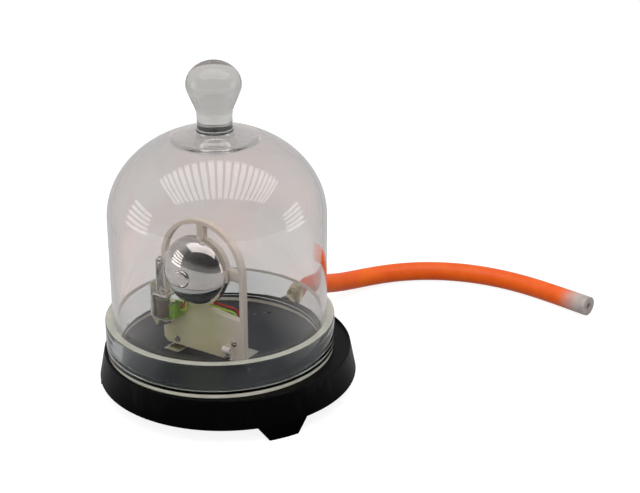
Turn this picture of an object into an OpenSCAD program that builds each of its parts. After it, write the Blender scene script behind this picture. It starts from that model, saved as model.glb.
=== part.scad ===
// Bell jar with an electric bell under it, on a base with a vacuum hose.
// Units are millimetres. The origin is the centre of the base on the table, +Z is up,
// +X is to the right of the front and +Y is to the back, where the hose leaves.

/* [Base] */
// Outer radius of the base at its top edge
base_r = 92.8; // [92:0.1:100]
// Outer radius of the skirt at its lower edge
skirt_r = 96.8; // [95:0.1:104]
// Outer radius of a foot at the table
foot_r = 97.2; // [95:0.1:106]
// Height of the deck above the table
deck_z = 31; // [30:0.5:45]
// Thickness of the deck
deck_t = 4; // [3:0.5:5]
// Wall of the skirt
skirt_t = 4; // [3:0.5:5]
// Height of the skirt's lower edge above the table
skirt_z = 11.3; // [8:0.1:13]
// Height of the lip round the deck
lip_h = 1.5; // [1:0.1:3]
// Width of the lip
lip_w = 1.5; // [1:0.1:1.6]
// Rounding of the lip's outer edge
edge_r = 0.8; // [0.3:0.1:1]
// Width of a foot at the skirt
foot_top_w = 41; // [34:0.5:48]
// Width of a foot at the table
foot_bottom_w = 22.6; // [16:0.2:30]
// Thickness of a foot, front to back
foot_t = 10; // [6:0.5:14]
// Bearing of the front foot
foot_angle = -67; // [-90:1:-40]

/* [Jar] */
// Outer radius of the jar's body
jar_r = 80; // [78:0.5:81]
// Wall of the jar
jar_wall = 3.5; // [2.5:0.1:5]
// How far the jar stands to the left of the base's centre
jar_shift = 5.2; // [0:0.1:5.4]
// Outer radius of the collar round the jar's foot
collar_r = 85.6; // [84.5:0.1:85.7]
// Height of the collar's top above the deck
collar_top = 26.4; // [20:0.1:40]
// Thickness of the sealing ring
seal_t = 3; // [2:0.1:5]
// Height of the dome's shoulder above the deck
shoulder_h = 105.9; // [100:0.1:130]
// Height of the dome above its shoulder
dome_h = 65.8; // [55:0.1:80]
// Height of the flat ceiling inside the dome above the deck
ceiling_h = 162.5; // [158:0.1:163]
// Radius of the knob's stem
stem_r = 12.75; // [10:0.05:15]
// Radius of the knob's bulb
bulb_r = 19.9; // [18:0.1:24]
// Half height of the knob's bulb
bulb_half_h = 16.9; // [14:0.1:18]
// Height of the bulb's centre above the dome's top
bulb_h = 32.7; // [29:0.1:43]
// Angle below its widest at which the bulb begins to taper
bulb_turn = 20; // [18:0.5:26]
// Radius of the hollow between the bulb and the stem
hollow_r = 20; // [10:0.5:24]

/* [Hose connection] */
// Bearing of the hose connector
conn_az = 57; // [50:0.5:65]
// Height of the connector's axis above the table
conn_z = 24; // [23:0.1:24.2]
// Distance of the suction port from the base's centre
port_r = 62.6; // [55:0.1:66]
// Diameter of the suction port
port_d = 3.2; // [2:0.1:5]
// Radius of the connector's thread
thread_r = 5; // [4:0.1:5.5]
// Radius of the bore through the connector
conn_bore_r = 2.5; // [1.5:0.1:3]
// Width of the connector's hexagon across flats
hex_af = 14; // [12:0.5:15]
// Radius of the connector's neck
neck_r = 4.5; // [3.5:0.1:5]
// Outer radius of the ferrule's ribs
ferrule_r = 8.25; // [7.2:0.05:9]
// Length of the ferrule
ferrule_l = 9; // [6:0.5:9.5]
// Outer radius of the hose
hose_r = 8; // [6:0.1:8.5]
// Radius of the bore in the hose's end
hose_bore_r = 3; // [2:0.1:4.5]
// Length of the hose's end piece
hose_end_l = 23; // [15:1:30]

/* [Power sockets] */
// Bearing of the black socket
socket_az = 135; // [128:1:140]
// Angle between the two sockets
socket_pitch = 15; // [12:1:18]
// Height of the sockets above the table
socket_z = 20.5; // [20:0.1:20.6]
// Radius of the plug bore
plug_r = 2; // [1.5:0.05:2.2]

/* [Stand] */
// Place of the stand's centre to the right of the base's centre
stand_x = -18.3; // [-24:0.1:-12]
// Place of the stand's front face behind the base's centre
stand_y = -17.9; // [-22:0.1:-12]
// Turn of the stand about the upright
stand_yaw = -37; // [-45:0.5:-30]
// Width of the plate and its hoop
plate_w = 73.6; // [72:0.1:78]
// Thickness of the plate
plate_t = 5.4; // [4:0.1:6]
// Gap between the plate and the deck
plate_gap = 3.7; // [2:0.1:4]
// How far the panel's top beside the stem lies below the gong's centre
panel_in_h = 31.1; // [30.1:0.1:32.6]
// How far the panel's top beside the bars lies below the gong's centre
panel_out_h = 34.7; // [31.6:0.1:35]
// Cut at the panel's lower left corner
panel_cut = 3.4; // [1:0.1:4]
// Half width of the stem between the panel and the disc
stem_half_w = 6.5; // [5:0.1:9]
// Width of the hoop and its bars
hoop_w = 3.2; // [2.5:0.1:4.5]
// Radius of the disc behind the gong
disc_r = 23; // [20:0.1:24]
// Width of the upper spoke
spoke_top_w = 5.5; // [3:0.1:8]
// Width of the side spokes
spoke_side_w = 8; // [4:0.1:10]
// Height of the gong's centre above the deck
hub_h = 71.6; // [71:0.1:73]
// Thickness of the brackets' sheet
bracket_t = 1.4; // [1:0.1:1.6]
// Width of a bracket
bracket_w = 13; // [12.6:0.1:14]

/* [Bell] */
// Radius of the gong's rim
gong_r = 26; // [25.5:0.1:26.2]
// Height of the gong's straight rim
gong_rim_h = 4; // [3:0.1:6]
// Height of the gong's dome above its rim
gong_dome_h = 17; // [15:0.1:22]
// Wall of the gong
gong_wall = 1.4; // [1:0.1:1.8]
// Gap between the gong's rim and the plate
gong_gap = 2; // [1.9:0.1:3]
// Radius of the cap on the gong's pole
cap_r = 6.6; // [5:0.1:8]
// Height of the cap
cap_h = 2.4; // [2:0.1:4]
// Radius of the gong post's shoulder
post_r = 4; // [3:0.1:5]
// Radius of the gong post's thread
post_thread_r = 2.5; // [2:0.1:2.8]

/* [Magnet] */
// Distance of the armature's hinge from the stand's centre
hinge_x = 32.3; // [32:0.1:33]
// How far the armature's hinge lies below the gong's centre
hinge_h = 23; // [22.6:0.1:23.6]
// Distance of the magnet's middle in front of the plate
mag_front = 12; // [11.5:0.1:13]
// Width of the yoke, front to back
mag_w = 9; // [8:0.1:10]
// Thickness of the magnet's sheet
sheet_t = 1.4; // [1:0.1:1.5]
// How far the magnet bracket's foot lies below the hinge
mag_foot_h = 28.2; // [27.6:0.1:30.6]
// Height of the magnet bracket's wall above the hinge
mag_wall_h = 9.4; // [8.9:0.1:13.4]
// How far the yoke's lower limb lies below the hinge
limb_h = 19; // [18.6:0.1:20.6]
// Length of the yoke's lower limb
limb_l = 13; // [12.5:0.1:14]
// Distance of the core from the hinge
core_x = 5.5; // [5.5:0.1:6]
// Radius of the core
core_r = 2.5; // [2:0.1:2.8]
// Radius of the winding
winding_r = 5; // [4.4:0.1:5.1]
// Air gap between the core and the armature
air_gap = 1; // [0.9:0.05:1.3]
// Length of the armature from its hinge
armature_l = 12.4; // [11.5:0.1:13]

/* [Clapper] */
// Distance of the clapper arm from the hinge
arm_x = 1.4; // [1.2:0.1:1.5]
// Thickness of the clapper arm
arm_t = 0.6; // [0.4:0.05:0.7]
// Width of the clapper arm
arm_w = 7.8; // [6:0.1:8.5]
// Distance of the clapper arm's middle in front of the plate
arm_front = 10; // [9.5:0.1:10.5]
// Height of the striker above the gong's centre
striker_h = 2; // [0.4:0.1:2.4]
// Radius of the striker
striker_r = 3; // [2:0.1:3.2]
// Length of the striker
striker_l = 2.7; // [2:0.1:2.8]

/* [Fasteners] */
// Radius of the plate and bracket screws
screw_r = 1.5; // [1.25:0.05:1.7]
// Radius of a screw's head
head_r = 2.8; // [2.4:0.1:3.1]
// Height of a screw's head
head_h = 2.2; // [1.5:0.1:2.6]
// Width of a nut across flats
nut_af = 5.5; // [5:0.1:6]
// Thickness of a nut
nut_t = 2.4; // [1.8:0.1:2.6]
// Radius of the magnet's small screws
small_r = 1.25; // [1:0.05:1.4]
// Radius of a small screw's head
small_head_r = 2.2; // [1.8:0.1:2.4]
// Radius of a lead
lead_r = 0.8; // [0.5:0.05:0.85]

/* [Fits] */
// Clearance round a screw, post or pin in its hole
hole_clear = 0.1; // [0.05:0.05:0.2]
// Clearance of glued and pressed round pieces
slip_clear = 0.05; // [0.02:0.01:0.1]
// Gap between the armature and what it works against
rest_gap = 0.05; // [0.02:0.01:0.1]

/* [Hidden] */
$fn = 96;

// Base
lip_z = deck_z + lip_h;
lip_in_r = base_r - lip_w;
deck_low = deck_z - deck_t;
rim_r = max(base_r, skirt_r);
foot_count = 3;
foot_lap = 1;
foot_inset = 0.6;
slack = 1;

// Jar: its sizes across are for a base of the standard radius and go with the base
base_std = 92.8;
jar_fit = base_r / base_std;
body_r = jar_r * jar_fit;
collar_out_r = collar_r * jar_fit;
jar_left = jar_shift * jar_fit;
jar_in_r = body_r - jar_wall;
jar_foot = deck_z + seal_t;
shoulder_z = deck_z + shoulder_h;
dome_in_h = dome_h - jar_wall;
ceiling_z = deck_z + ceiling_h;
ceiling_r = jar_in_r * sqrt(1 - pow((ceiling_h - shoulder_h) / dome_in_h, 2));
knob_bead = 0.9;
knob_bead_h = 1.2;
seat_r = stem_r + knob_bead;
seat_z = shoulder_z + dome_h * sqrt(1 - pow(seat_r / body_r, 2));
bulb_z = shoulder_z + dome_h + bulb_h;
taper = bulb_r / bulb_half_h * tan(bulb_turn);
taper_angle = atan(taper);
taper_top_r = bulb_r * cos(bulb_turn);
taper_top_z = bulb_z - bulb_half_h * sin(bulb_turn);
hollow_z = taper_top_z - (taper_top_r - stem_r) / taper - hollow_r * tan(taper_angle / 2);
hollow_steps = 8;
collar_edge = 1;
seal_inset = 1.2;
arc_steps = 28;

// Hose connection, along the connector's axis
boss_w = 18;
boss_low = conn_z - boss_w / 2;
pad_r = 8;
pad_over = 0.2;
pad_end = rim_r + pad_over;
thread_l = 12;
thread_start = pad_end - thread_l;
conn_seal_t = 1.2;
flange_start = pad_end + conn_seal_t;
flange_t = 4;
ferrule_end = 122;
ferrule_ribs = 4;
rib_depth = 0.9;
passage_start = port_r - conn_bore_r;
boss_end = max(skirt_radius(deck_low) - skirt_t / 2, thread_start + slack);

// Power sockets, along each socket's axis
socket_pad_r = 7.5;
socket_pad_end = rim_r - pad_over;
socket_pad_in = 2;
socket_wall_r = min(skirt_radius(socket_z - socket_pad_r), skirt_radius(socket_z + socket_pad_r)) - skirt_t;
socket_pad_start = socket_wall_r - socket_pad_in;
socket_shank_r = 4;
socket_head_r = 6;
socket_head_l = 6;
socket_nut_af = 11;
socket_nut_t = 3;
socket_tail = 10;
socket_in = socket_pad_start - socket_tail;
plug_depth = 14;

// Stand, in its own frame: X along the plate, Y to the back, Z from the deck
hoop_r = plate_w / 2;
hoop_in_r = hoop_r - hoop_w;
plate_left = -hoop_r;
bracket_left_in = 5;
bracket_right_in = 5.4;
screw_left_at = [1.2, 4.3];
screw_high_at = [3.4, 14.3];
screw_low_at = [4.2, 3];
screw_tail = 0.6;
floor_screw_back = 14;
bracket_left_x = plate_left + bracket_left_in;
bracket_left_h = 16;
bracket_left_front = 7;
bracket_right_x = hoop_r - bracket_right_in - bracket_w;
bracket_right_h = 23;
bracket_right_l = 21;
screw_left = [bracket_left_x + bracket_w / 2 + screw_left_at[0], plate_gap + screw_left_at[1]];
screw_right_high = [bracket_right_x + bracket_w - screw_high_at[0], plate_gap + screw_high_at[1]];
screw_right_low = [bracket_right_x + screw_low_at[0], plate_gap + screw_low_at[1]];
plate_screw_places = [screw_left, screw_right_high, screw_right_low];
plate_screw_end = plate_t + bracket_t + nut_t + screw_tail;
floor_screw_left = [bracket_left_x + bracket_w / 2, -bracket_left_front / 2];
floor_screw_right = [bracket_right_x + bracket_w / 2, plate_t + floor_screw_back];
floor_screw_places = [floor_screw_left, floor_screw_right];
recess_w = 0.7;
recess_l = 3;
recess_depth = 0.9;
clip_tab_t = 1;
clip_loop_r = 2.5;
clip_bore_r = 1.4;
clip_w = 6.4;
clip_rise = 6;
clip_shift = 0.8;

// Bell, along the gong's axis, which points to the front
seat_over = 0.4;
gong_seat_r = cap_r + seat_over;
gong_pole = gong_gap + gong_rim_h + gong_dome_h * sqrt(1 - pow(gong_seat_r / gong_r, 2));
post_end = gong_pole + cap_h * 0.6;
post_nut_af = 8;
post_nut_t = 4;

// Magnet, in the stand's frame
hx = -hinge_x;
hinge_z = hub_h - hinge_h;
mag_foot_z = hinge_z - mag_foot_h;
mag_wall_z = hinge_z + mag_wall_h;
limb_z = hinge_z - limb_h;
striker_z = hub_h + striker_h;
my = -mag_front;
ay = -arm_front;
mag_back = my + mag_w / 2;
mag_face = my - mag_w / 2;
limb_top = limb_z + sheet_t;
core_top = hinge_z - air_gap;
core_pole_t = 0.8;
core_step = 0.9;
core_pole_r = core_r + core_step;
core_tail_r = core_r - core_step;
flange_over = 0.4;
bobbin_flange_t = 1;
bobbin_wall = 0.8;
bobbin_top = core_top - core_pole_t;
block_in = 10.6;
block_l = 6;
block_h = 11;
block_x0 = hx + block_in;
block_x1 = block_x0 + block_l;
block_back = -2.6;
block_front = -12;
block_top = limb_top + block_h;
block_step = 3;
slot_w = 2.2;
wall_out = hx - 2 * sheet_t;
mag_foot_l = 3.6;
mag_flange_l = 9;
foot_x1 = hx + mag_foot_l;
flange_x1 = hx + mag_flange_l;
mag_flange_h = 15;
mag_screw_in = 1.6;
mag_screw_pitch = 4.8;
mag_screw_rise = 10;
mag_screw_x = [hx + mag_screw_in, hx + mag_screw_in + mag_screw_pitch];
mag_screw_h = mag_foot_z + mag_screw_rise;
mag_screw_bite = 4;
small_head_h = 1.4;
contact_down = 2.6;
contact_tail = 0.8;
contact_h = mag_wall_z - contact_down;
contact_nut_af = 4.5;
contact_nut_t = 1.4;
contact_back = contact_nut_t + contact_tail;
yoke_rivet_down = 1;
yoke_rivet_h = (limb_top + hinge_z) / 2 - yoke_rivet_down;
yoke_rivet_head_h = 0.5;
blade_t = 0.4;
blade_w = 2.6;
blade_h = 9;
wall_top_half = 3.2;
wall_slant = 4.5;
slant_top = limb_top;
arm_foot_l = 7;
rivet_r = 0.8;
rivet_head_r = 1.4;
rivet_head_h = 0.7;
rivet_in = 3;
armature_over = 0.5;
rivet_x = arm_x + arm_t + rivet_in;
armature_back = ay + arm_w / 2 + armature_over;
armature_top = hinge_z + sheet_t;
armature_tail = 1;
armature_trim = 0.5;
striker_pin_r = 1;
striker_tail_r = 1.6;
striker_tail_l = 0.8;

// Leads and their gland, in the stand's frame
gland_x = 10;
gland_y = 12.5;
gland_r = 3.9;
gland_lip_r = 5.2;
gland_lip_t = 1.3;
lead_half_pitch = 1.5;
lead_lift = 5;
lead_h = limb_top + lead_lift;
// Height of the leads' crest above the gong's lowest edge
crest_over = 1;
lead_crest = hub_h - gong_r + crest_over;
// First points from the terminal block, then the way with heights from the crest, then the gland.
// The last two numbers of a point say where the upper lead lies beside the lower one.
lead_exit = [[0, -5, 0, 0, 0], [3, -4.4, 0.6, -1.8, -0.6]];
lead_way = [[-11.5, -2.2, -5.6, -1.6, 0], [-8, -1.05, -2, -1, 0], [-3, -1.05, 0, 0, 0], [3, -1.05, 0, 0, 0],
    [9, -0.9, -1.4, 0, 0], [14, 0.8, -3.2, 0, 0.6], [19, 3.6, -5.2, 0, 1.2], [23.5, 6.8, -7.8, 0, 1.8],
    [25.6, 8.6, -12.1, 0, 2.1], [25, 10.2, -18.1, 0, 2.1], [20.5, 11.6, -25.6, 0, 2],
    [14.5, 12.3, -31.6, 0, 1.6]];
lead_down = [8, 2];
lead_out = 0.5;
// Under the deck: depth of the turn, points after it, last straight and sag of each lead
lead_turn = 4;
lead_under = [[1, 4, 2, -4, -1.5], [-2, 12, 0, -8, -3]];
lead_straight = 6;
sag_red = 3.4;
sag_green = 1;
lead_step = 2.6;
lead_sides = 8;
lead_ref = [0.2, 1, 0.1];

// Hose, on the table: it leaves the connector, sinks and lies in one slack bend.
// The third number of a point is the height of the hose's underside.
hose_sides = 12;
hose_way = [[73, 112.3, 15.6], [79.4, 121.4, 13.6], [86.2, 129.5, 10.8], [95.6, 139.2, 7],
    [108.6, 150.6, 3.6], [125, 161.4, 1.4], [143, 168.8, 0.4], [162, 172.2, 0.1], [181, 171.8, 0.1],
    [200, 168.2, 0.1], [218, 161.8, 0.1], [235, 152.7, 0.1], [250, 142.2, 0.1], [263.5, 130.3, 0.1],
    [276, 117.6, 0.1], [285, 108, 0.1]];
hose_route = concat([on_bearing(ferrule_end, conn_az, conn_z)],
    [for (p = hose_way) [p[0], p[1], p[2] + hose_r]]);
hose_heading = -47.4;
hose_last = hose_route[len(hose_route) - 1];
hose_up = [0, 0, 1];

function unit(v) = v / norm(v);

function ellipse_arc(rx, rz, cz, from, to, steps) =
    [for (i = [0:steps]) let (a = from + (to - from) * i / steps) [rx * cos(a), cz + rz * sin(a)]];

function skirt_radius(z) = skirt_r + (base_r - skirt_r) * (z - skirt_z) / (lip_z - skirt_z);

// A point of the stand's frame in the part's frame
function from_stand(p) = [
    stand_x + p[0] * cos(stand_yaw) - p[1] * sin(stand_yaw),
    stand_y + p[0] * sin(stand_yaw) + p[1] * cos(stand_yaw),
    deck_z + p[2]];

function on_bearing(r, az, z) = [r * cos(az), r * sin(az), z];

// Tangent of a route at point i, with its first and last directions given
function route_dir(route, i, first, last) =
    i == 0 ? unit(first) : i == len(route) - 1 ? unit(last) : unit(route[i + 1] - route[i - 1]);

function ring(p, t, r, sides, ref) =
    let (b = unit(cross(t, ref)), n = cross(b, t))
    [for (k = [0:sides - 1]) let (a = 360 * (k + 0.5) / sides) p + r * (cos(a) * b + sin(a) * n)];

module in_stand() {
    translate([stand_x, stand_y, deck_z]) rotate([0, 0, stand_yaw]) children();
}

module at_jar() {
    translate([-jar_left, 0, 0]) children();
}

// Z along the connector's axis, away from the base's centre
module along_connector() {
    rotate([0, 0, conn_az]) translate([0, 0, conn_z]) rotate([0, 90, 0]) children();
}

module along_socket(az) {
    rotate([0, 0, az]) translate([0, 0, socket_z]) rotate([0, 90, 0]) children();
}

// Z along the stand's Y, from the plate's front face to the back
module through_plate(x, z) {
    translate([x, 0, z]) rotate([-90, 0, 0]) children();
}

// Z along the stand's X, at a height and a distance in front of the plate
module along_plate(x, y, z) {
    translate([x, y, z]) rotate([0, 90, 0]) children();
}

module box(low, high) {
    translate(low) cube(high - low);
}

module hexagon(af, h) {
    cylinder(r = af / 2 / cos(30), h = h, $fn = 6);
}

module tube_along(route, r, sides, first, last, ref) {
    count = len(route);
    points = [for (i = [0:count - 1]) each ring(route[i], route_dir(route, i, first, last), r, sides, ref)];
    walls = [for (i = [0:count - 2], k = [0:sides - 1]) let (a = i * sides + k,
        b = i * sides + (k + 1) % sides) each [[a, a + sides, b], [b, a + sides, b + sides]]];
    start = [for (k = [1:sides - 2]) [0, k, k + 1]];
    far = (count - 1) * sides;
    end = [for (k = [1:sides - 2]) [far, far + k + 1, far + k]];
    polyhedron(points = points, faces = concat(walls, start, end));
}

// A screw head with a domed top and a crossed recess, its top towards +Z
module pan_head(r, h) {
    dome = (r * r + h * h) / (2 * h);
    difference() {
        intersection() {
            translate([0, 0, h - dome]) sphere(r = dome);
            cylinder(r = r, h = h);
        }
        for (turn = [0, 90])
            rotate([0, 0, turn])
                translate([-recess_l / 2, -recess_w / 2, h - recess_depth]) cube([recess_l, recess_w, h]);
    }
}

module foot() {
    tall = skirt_z + foot_lap;
    intersection() {
        rotate_extrude() polygon([[foot_r - foot_t, 0], [foot_r, 0], [skirt_r - foot_inset, tall],
            [skirt_r - foot_t, tall]]);
        rotate([90, 0, 90]) linear_extrude(height = max(foot_r, skirt_r) + slack)
            polygon([[-foot_bottom_w / 2, 0], [foot_bottom_w / 2, 0], [foot_top_w / 2, tall],
                [-foot_top_w / 2, tall]]);
    }
}

module base_shell() {
    lip_edge = ellipse_arc(edge_r, edge_r, lip_z - edge_r, 0, 90, 4);
    rotate_extrude() polygon(concat([[skirt_r, skirt_z]],
        [for (p = lip_edge) [base_r - edge_r + p[0], p[1]]],
        [[lip_in_r, lip_z], [lip_in_r, deck_z], [0, deck_z], [0, deck_low],
        [skirt_radius(deck_low) - skirt_t, deck_low], [skirt_r - skirt_t, skirt_z]]));
}

module base_moulding() {
    color("#17181a")
    difference() {
        union() {
            base_shell();
            for (i = [0:foot_count - 1])
                rotate([0, 0, foot_angle + i * 360 / foot_count]) foot();
            rotate([0, 0, conn_az])
                box([port_r - boss_w / 2, -boss_w / 2, boss_low],
                    [boss_end, boss_w / 2, deck_low + slack]);
            along_connector() translate([0, 0, thread_start]) cylinder(r = pad_r, h = pad_end - thread_start);
            for (i = [0, 1])
                along_socket(socket_az + i * socket_pitch) translate([0, 0, socket_pad_start])
                    cylinder(r = socket_pad_r, h = socket_pad_end - socket_pad_start);
        }
        rotate([0, 0, conn_az]) translate([port_r, 0, conn_z])
            cylinder(d = port_d, h = deck_z - conn_z + slack);
        along_connector() translate([0, 0, passage_start])
            cylinder(r = conn_bore_r, h = thread_start - passage_start + slack);
        along_connector() translate([0, 0, thread_start])
            cylinder(r = thread_r + slip_clear, h = thread_l + slack);
        for (i = [0, 1])
            along_socket(socket_az + i * socket_pitch) translate([0, 0, socket_pad_start - slack])
                cylinder(r = socket_shank_r + hole_clear, h = socket_pad_end - socket_pad_start + 2 * slack);
        in_stand() {
            for (p = floor_screw_places)
                translate([p[0], p[1], -deck_t - slack])
                    cylinder(r = screw_r + hole_clear, h = deck_t + 2 * slack);
            translate([gland_x, gland_y, -deck_t - slack])
                cylinder(r = gland_r + hole_clear, h = deck_t + 2 * slack);
        }
    }
}

module sealing_ring() {
    color("#d9d5bd")
    at_jar() translate([0, 0, deck_z])
        difference() {
            cylinder(r = collar_out_r - seal_inset / 2, h = seal_t);
            translate([0, 0, -slack]) cylinder(r = jar_in_r + seal_inset, h = seal_t + 2 * slack);
        }
}

module jar_dome() {
    seat_turn = acos(seat_r / body_r);
    ceiling_turn = acos(ceiling_r / jar_in_r);
    outside = ellipse_arc(body_r, dome_h, shoulder_z, 0, seat_turn, arc_steps);
    inside = ellipse_arc(jar_in_r, dome_in_h, shoulder_z, ceiling_turn, 0, arc_steps);
    color("#dfe6e8", 0.35)
    at_jar() rotate_extrude()
        polygon(concat([[jar_in_r, jar_foot], [body_r, jar_foot]], outside,
            [[0, seat_z], [0, ceiling_z]], inside));
}

module jar_collar() {
    collar_z = deck_z + collar_top;
    rounding = ellipse_arc(collar_edge, collar_edge, collar_z - collar_edge, 0, 90, 4);
    bore = body_r + slip_clear;
    color("#dfe6e8", 0.35)
    at_jar() rotate_extrude()
        polygon(concat([[bore, jar_foot], [collar_out_r, jar_foot]],
            [for (p = rounding) [collar_out_r - collar_edge + p[0], p[1]]], [[bore, collar_z]]));
}

module jar_knob() {
    bulb = ellipse_arc(bulb_r, bulb_half_h, bulb_z, -bulb_turn, 90, arc_steps);
    hollow = ellipse_arc(hollow_r, hollow_r, hollow_z, 180, 180 - taper_angle, hollow_steps);
    color("#dfe6e8", 0.35)
    at_jar() rotate_extrude()
        polygon(concat([[0, seat_z], [seat_r, seat_z], [seat_r, seat_z + knob_bead_h],
            [stem_r, seat_z + knob_bead_h + knob_bead]],
            [for (p = hollow) [stem_r + hollow_r + p[0], p[1]]], bulb));
}

module hose_connector() {
    color("#b9ab78")
    along_connector() difference() {
        union() {
            translate([0, 0, thread_start + slip_clear])
                cylinder(r = thread_r, h = flange_start - thread_start - slip_clear);
            translate([0, 0, flange_start]) hexagon(hex_af, flange_t);
            translate([0, 0, flange_start + flange_t])
                cylinder(r = neck_r, h = ferrule_end - flange_start - flange_t);
        }
        translate([0, 0, thread_start - slack])
            cylinder(r = conn_bore_r, h = ferrule_end - thread_start + 2 * slack);
    }
}

module connector_seal() {
    color("#2a2a2a")
    along_connector() translate([0, 0, pad_end]) difference() {
        cylinder(r = hex_af / 2 - hole_clear, h = conn_seal_t);
        translate([0, 0, -slack]) cylinder(r = thread_r + hole_clear, h = conn_seal_t + 2 * slack);
    }
}

module hose_ferrule() {
    rib = ferrule_l / ferrule_ribs;
    bore = neck_r + slip_clear;
    ferrule_start = ferrule_end - ferrule_l;
    ribs = [for (i = [0:ferrule_ribs - 1]) let (z = ferrule_start + i * rib)
        each [[ferrule_r - rib_depth, z], [ferrule_r, z + rib * 0.3], [ferrule_r, z + rib * 0.7]]];
    color("#c4b684")
    along_connector() rotate_extrude()
        polygon(concat([[bore, ferrule_start]], ribs,
            [[ferrule_r - rib_depth, ferrule_end], [bore, ferrule_end]]));
}

module vacuum_hose() {
    color("#ee6c22")
    tube_along(hose_route, hose_r, hose_sides, on_bearing(1, conn_az, 0),
        on_bearing(1, hose_heading, 0), hose_up);
}

module hose_end() {
    color("#9b9a98")
    translate(hose_last) rotate([0, 0, hose_heading]) rotate([0, 90, 0]) difference() {
        cylinder(r = hose_r, h = hose_end_l);
        translate([0, 0, slack]) cylinder(r = hose_bore_r, h = hose_end_l);
    }
}

module power_socket() {
    difference() {
        union() {
            translate([0, 0, socket_in]) cylinder(r = socket_shank_r, h = socket_pad_end - socket_in);
            translate([0, 0, socket_pad_end]) cylinder(r = socket_head_r, h = socket_head_l);
        }
        translate([0, 0, socket_pad_end + socket_head_l - plug_depth])
            cylinder(r = plug_r, h = plug_depth + slack);
    }
}

module socket_red() {
    color("#b81f1f") along_socket(socket_az + socket_pitch) power_socket();
}

module socket_black() {
    color("#1b1b1b") along_socket(socket_az) power_socket();
}

module socket_nuts() {
    color("#c9c9c4")
    for (i = [0, 1])
        along_socket(socket_az + i * socket_pitch)
            translate([0, 0, socket_pad_start - socket_nut_t]) difference() {
                hexagon(socket_nut_af, socket_nut_t);
                translate([0, 0, -slack])
                    cylinder(r = socket_shank_r + slip_clear, h = socket_nut_t + 2 * slack);
            }
}

module plate_window(side) {
    polygon([[side * stem_half_w, hub_h - panel_in_h], [side * hoop_in_r, hub_h - panel_out_h],
        [side * hoop_in_r, hub_h], [side * stem_half_w, hub_h]]);
}

module plate_shape() {
    difference() {
        union() {
            difference() {
                union() {
                    translate([plate_left, plate_gap]) square([plate_w, hub_h - plate_gap]);
                    translate([0, hub_h]) circle(r = hoop_r);
                }
                translate([0, hub_h]) intersection() {
                    circle(r = hoop_in_r);
                    translate([-hoop_r, 0]) square([plate_w, hoop_r]);
                }
                for (side = [-1, 1]) plate_window(side);
            }
            translate([0, hub_h]) circle(r = disc_r);
            translate([-hoop_in_r - hoop_w / 2, hub_h - spoke_side_w / 2])
                square([2 * hoop_in_r + hoop_w, spoke_side_w]);
            translate([-spoke_top_w / 2, hub_h]) square([spoke_top_w, hoop_in_r + hoop_w / 2]);
        }
        polygon([[plate_left - slack, plate_gap - slack], [plate_left + panel_cut, plate_gap - slack],
            [plate_left + panel_cut, plate_gap], [plate_left, plate_gap + panel_cut],
            [plate_left - slack, plate_gap + panel_cut]]);
    }
}

module stand_plate() {
    color("#d8d3bd")
    in_stand() difference() {
        translate([0, plate_t, 0]) rotate([90, 0, 0]) linear_extrude(height = plate_t) plate_shape();
        for (p = plate_screw_places)
            through_plate(p[0], p[1]) translate([0, 0, -slack])
                cylinder(r = screw_r + hole_clear, h = plate_t + 2 * slack);
        through_plate(0, hub_h) translate([0, 0, -slack])
            cylinder(r = post_thread_r + hole_clear, h = plate_t + 2 * slack);
        for (x = mag_screw_x)
            through_plate(x, mag_screw_h) translate([0, 0, -slack])
                cylinder(r = small_r + slip_clear, h = mag_screw_bite + slack);
    }
}

module bracket_holes(uprights, floor_place) {
    for (p = uprights)
        through_plate(p[0], p[1]) translate([0, 0, plate_t - slack])
            cylinder(r = screw_r + hole_clear, h = bracket_t + 2 * slack);
    translate([floor_place[0], floor_place[1], -slack])
        cylinder(r = screw_r + slip_clear, h = bracket_t + 2 * slack);
}

module bracket_left() {
    color("#aeb0b2")
    in_stand() difference() {
        union() {
            box([bracket_left_x, plate_t, 0],
                [bracket_left_x + bracket_w, plate_t + bracket_t, bracket_left_h]);
            box([bracket_left_x, -bracket_left_front, 0],
                [bracket_left_x + bracket_w, plate_t + bracket_t, bracket_t]);
        }
        bracket_holes([screw_left], floor_screw_left);
    }
}

module bracket_right() {
    color("#aeb0b2")
    in_stand() difference() {
        union() {
            box([bracket_right_x, plate_t, 0],
                [bracket_right_x + bracket_w, plate_t + bracket_t, bracket_right_h]);
            box([bracket_right_x, plate_t, 0],
                [bracket_right_x + bracket_w, plate_t + bracket_right_l, bracket_t]);
        }
        bracket_holes([screw_right_high, screw_right_low], floor_screw_right);
    }
}

module plate_screws() {
    color("#8d8f92")
    in_stand() for (p = plate_screw_places) {
        lift = p == screw_right_low ? clip_tab_t : 0;
        through_plate(p[0], p[1]) {
            translate([0, 0, -lift]) rotate([180, 0, 0]) pan_head(head_r, head_h);
            translate([0, 0, -lift]) cylinder(r = screw_r, h = plate_screw_end + lift);
        }
    }
}

module plate_nuts() {
    color("#8d8f92")
    in_stand() for (p = plate_screw_places)
        through_plate(p[0], p[1]) translate([0, 0, plate_t + bracket_t]) difference() {
            hexagon(nut_af, nut_t);
            translate([0, 0, -slack]) cylinder(r = screw_r + slip_clear, h = nut_t + 2 * slack);
        }
}

module bracket_screws() {
    color("#8d8f92")
    in_stand() for (p = floor_screw_places)
        translate([p[0], p[1], -deck_t]) {
            cylinder(r = screw_r, h = deck_t + bracket_t);
            rotate([180, 0, 0]) pan_head(head_r, head_h);
        }
}

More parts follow.
